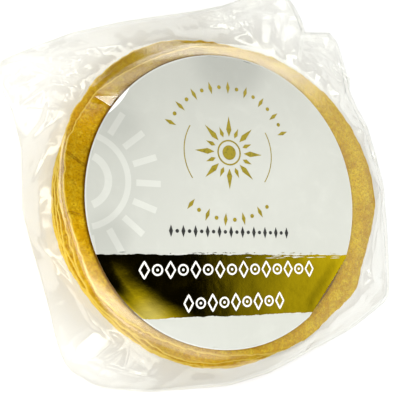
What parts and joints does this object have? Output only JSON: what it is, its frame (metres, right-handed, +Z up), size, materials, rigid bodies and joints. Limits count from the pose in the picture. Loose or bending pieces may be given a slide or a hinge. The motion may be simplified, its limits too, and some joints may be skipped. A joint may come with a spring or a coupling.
{
  "type": "sealed film pack of corn tortillas",
  "caption": "Clear crinkled film pack sealed round a flat stack of yellow corn tortillas, lying flat, with a round white label that has a gold band.",
  "frame": {"origin": "on the flat underside, under the middle of the round label", "axes": "+X to the label's right, +Y to the label's head, +Z up out of the label's face"},
  "size_m": [0.2066, 0.2021, 0.0217],
  "materials": {
    "clear_film": "thin clear plastic film, crinkled, with sharp glossy highlights",
    "label_paper": "coated white paper, satin",
    "gold_foil": "mirror-like gold stamping foil",
    "label_ink": "flat printed ink, dark on the white ground and white on the gold band",
    "corn_tortilla": "baked yellow maize dough, fine-pored and matt, with faint toasted patches"
  },
  "bodies": {
    "root": {"film_bag": "clear_film", "label": "label_paper"}
  },
  "joints": []
}
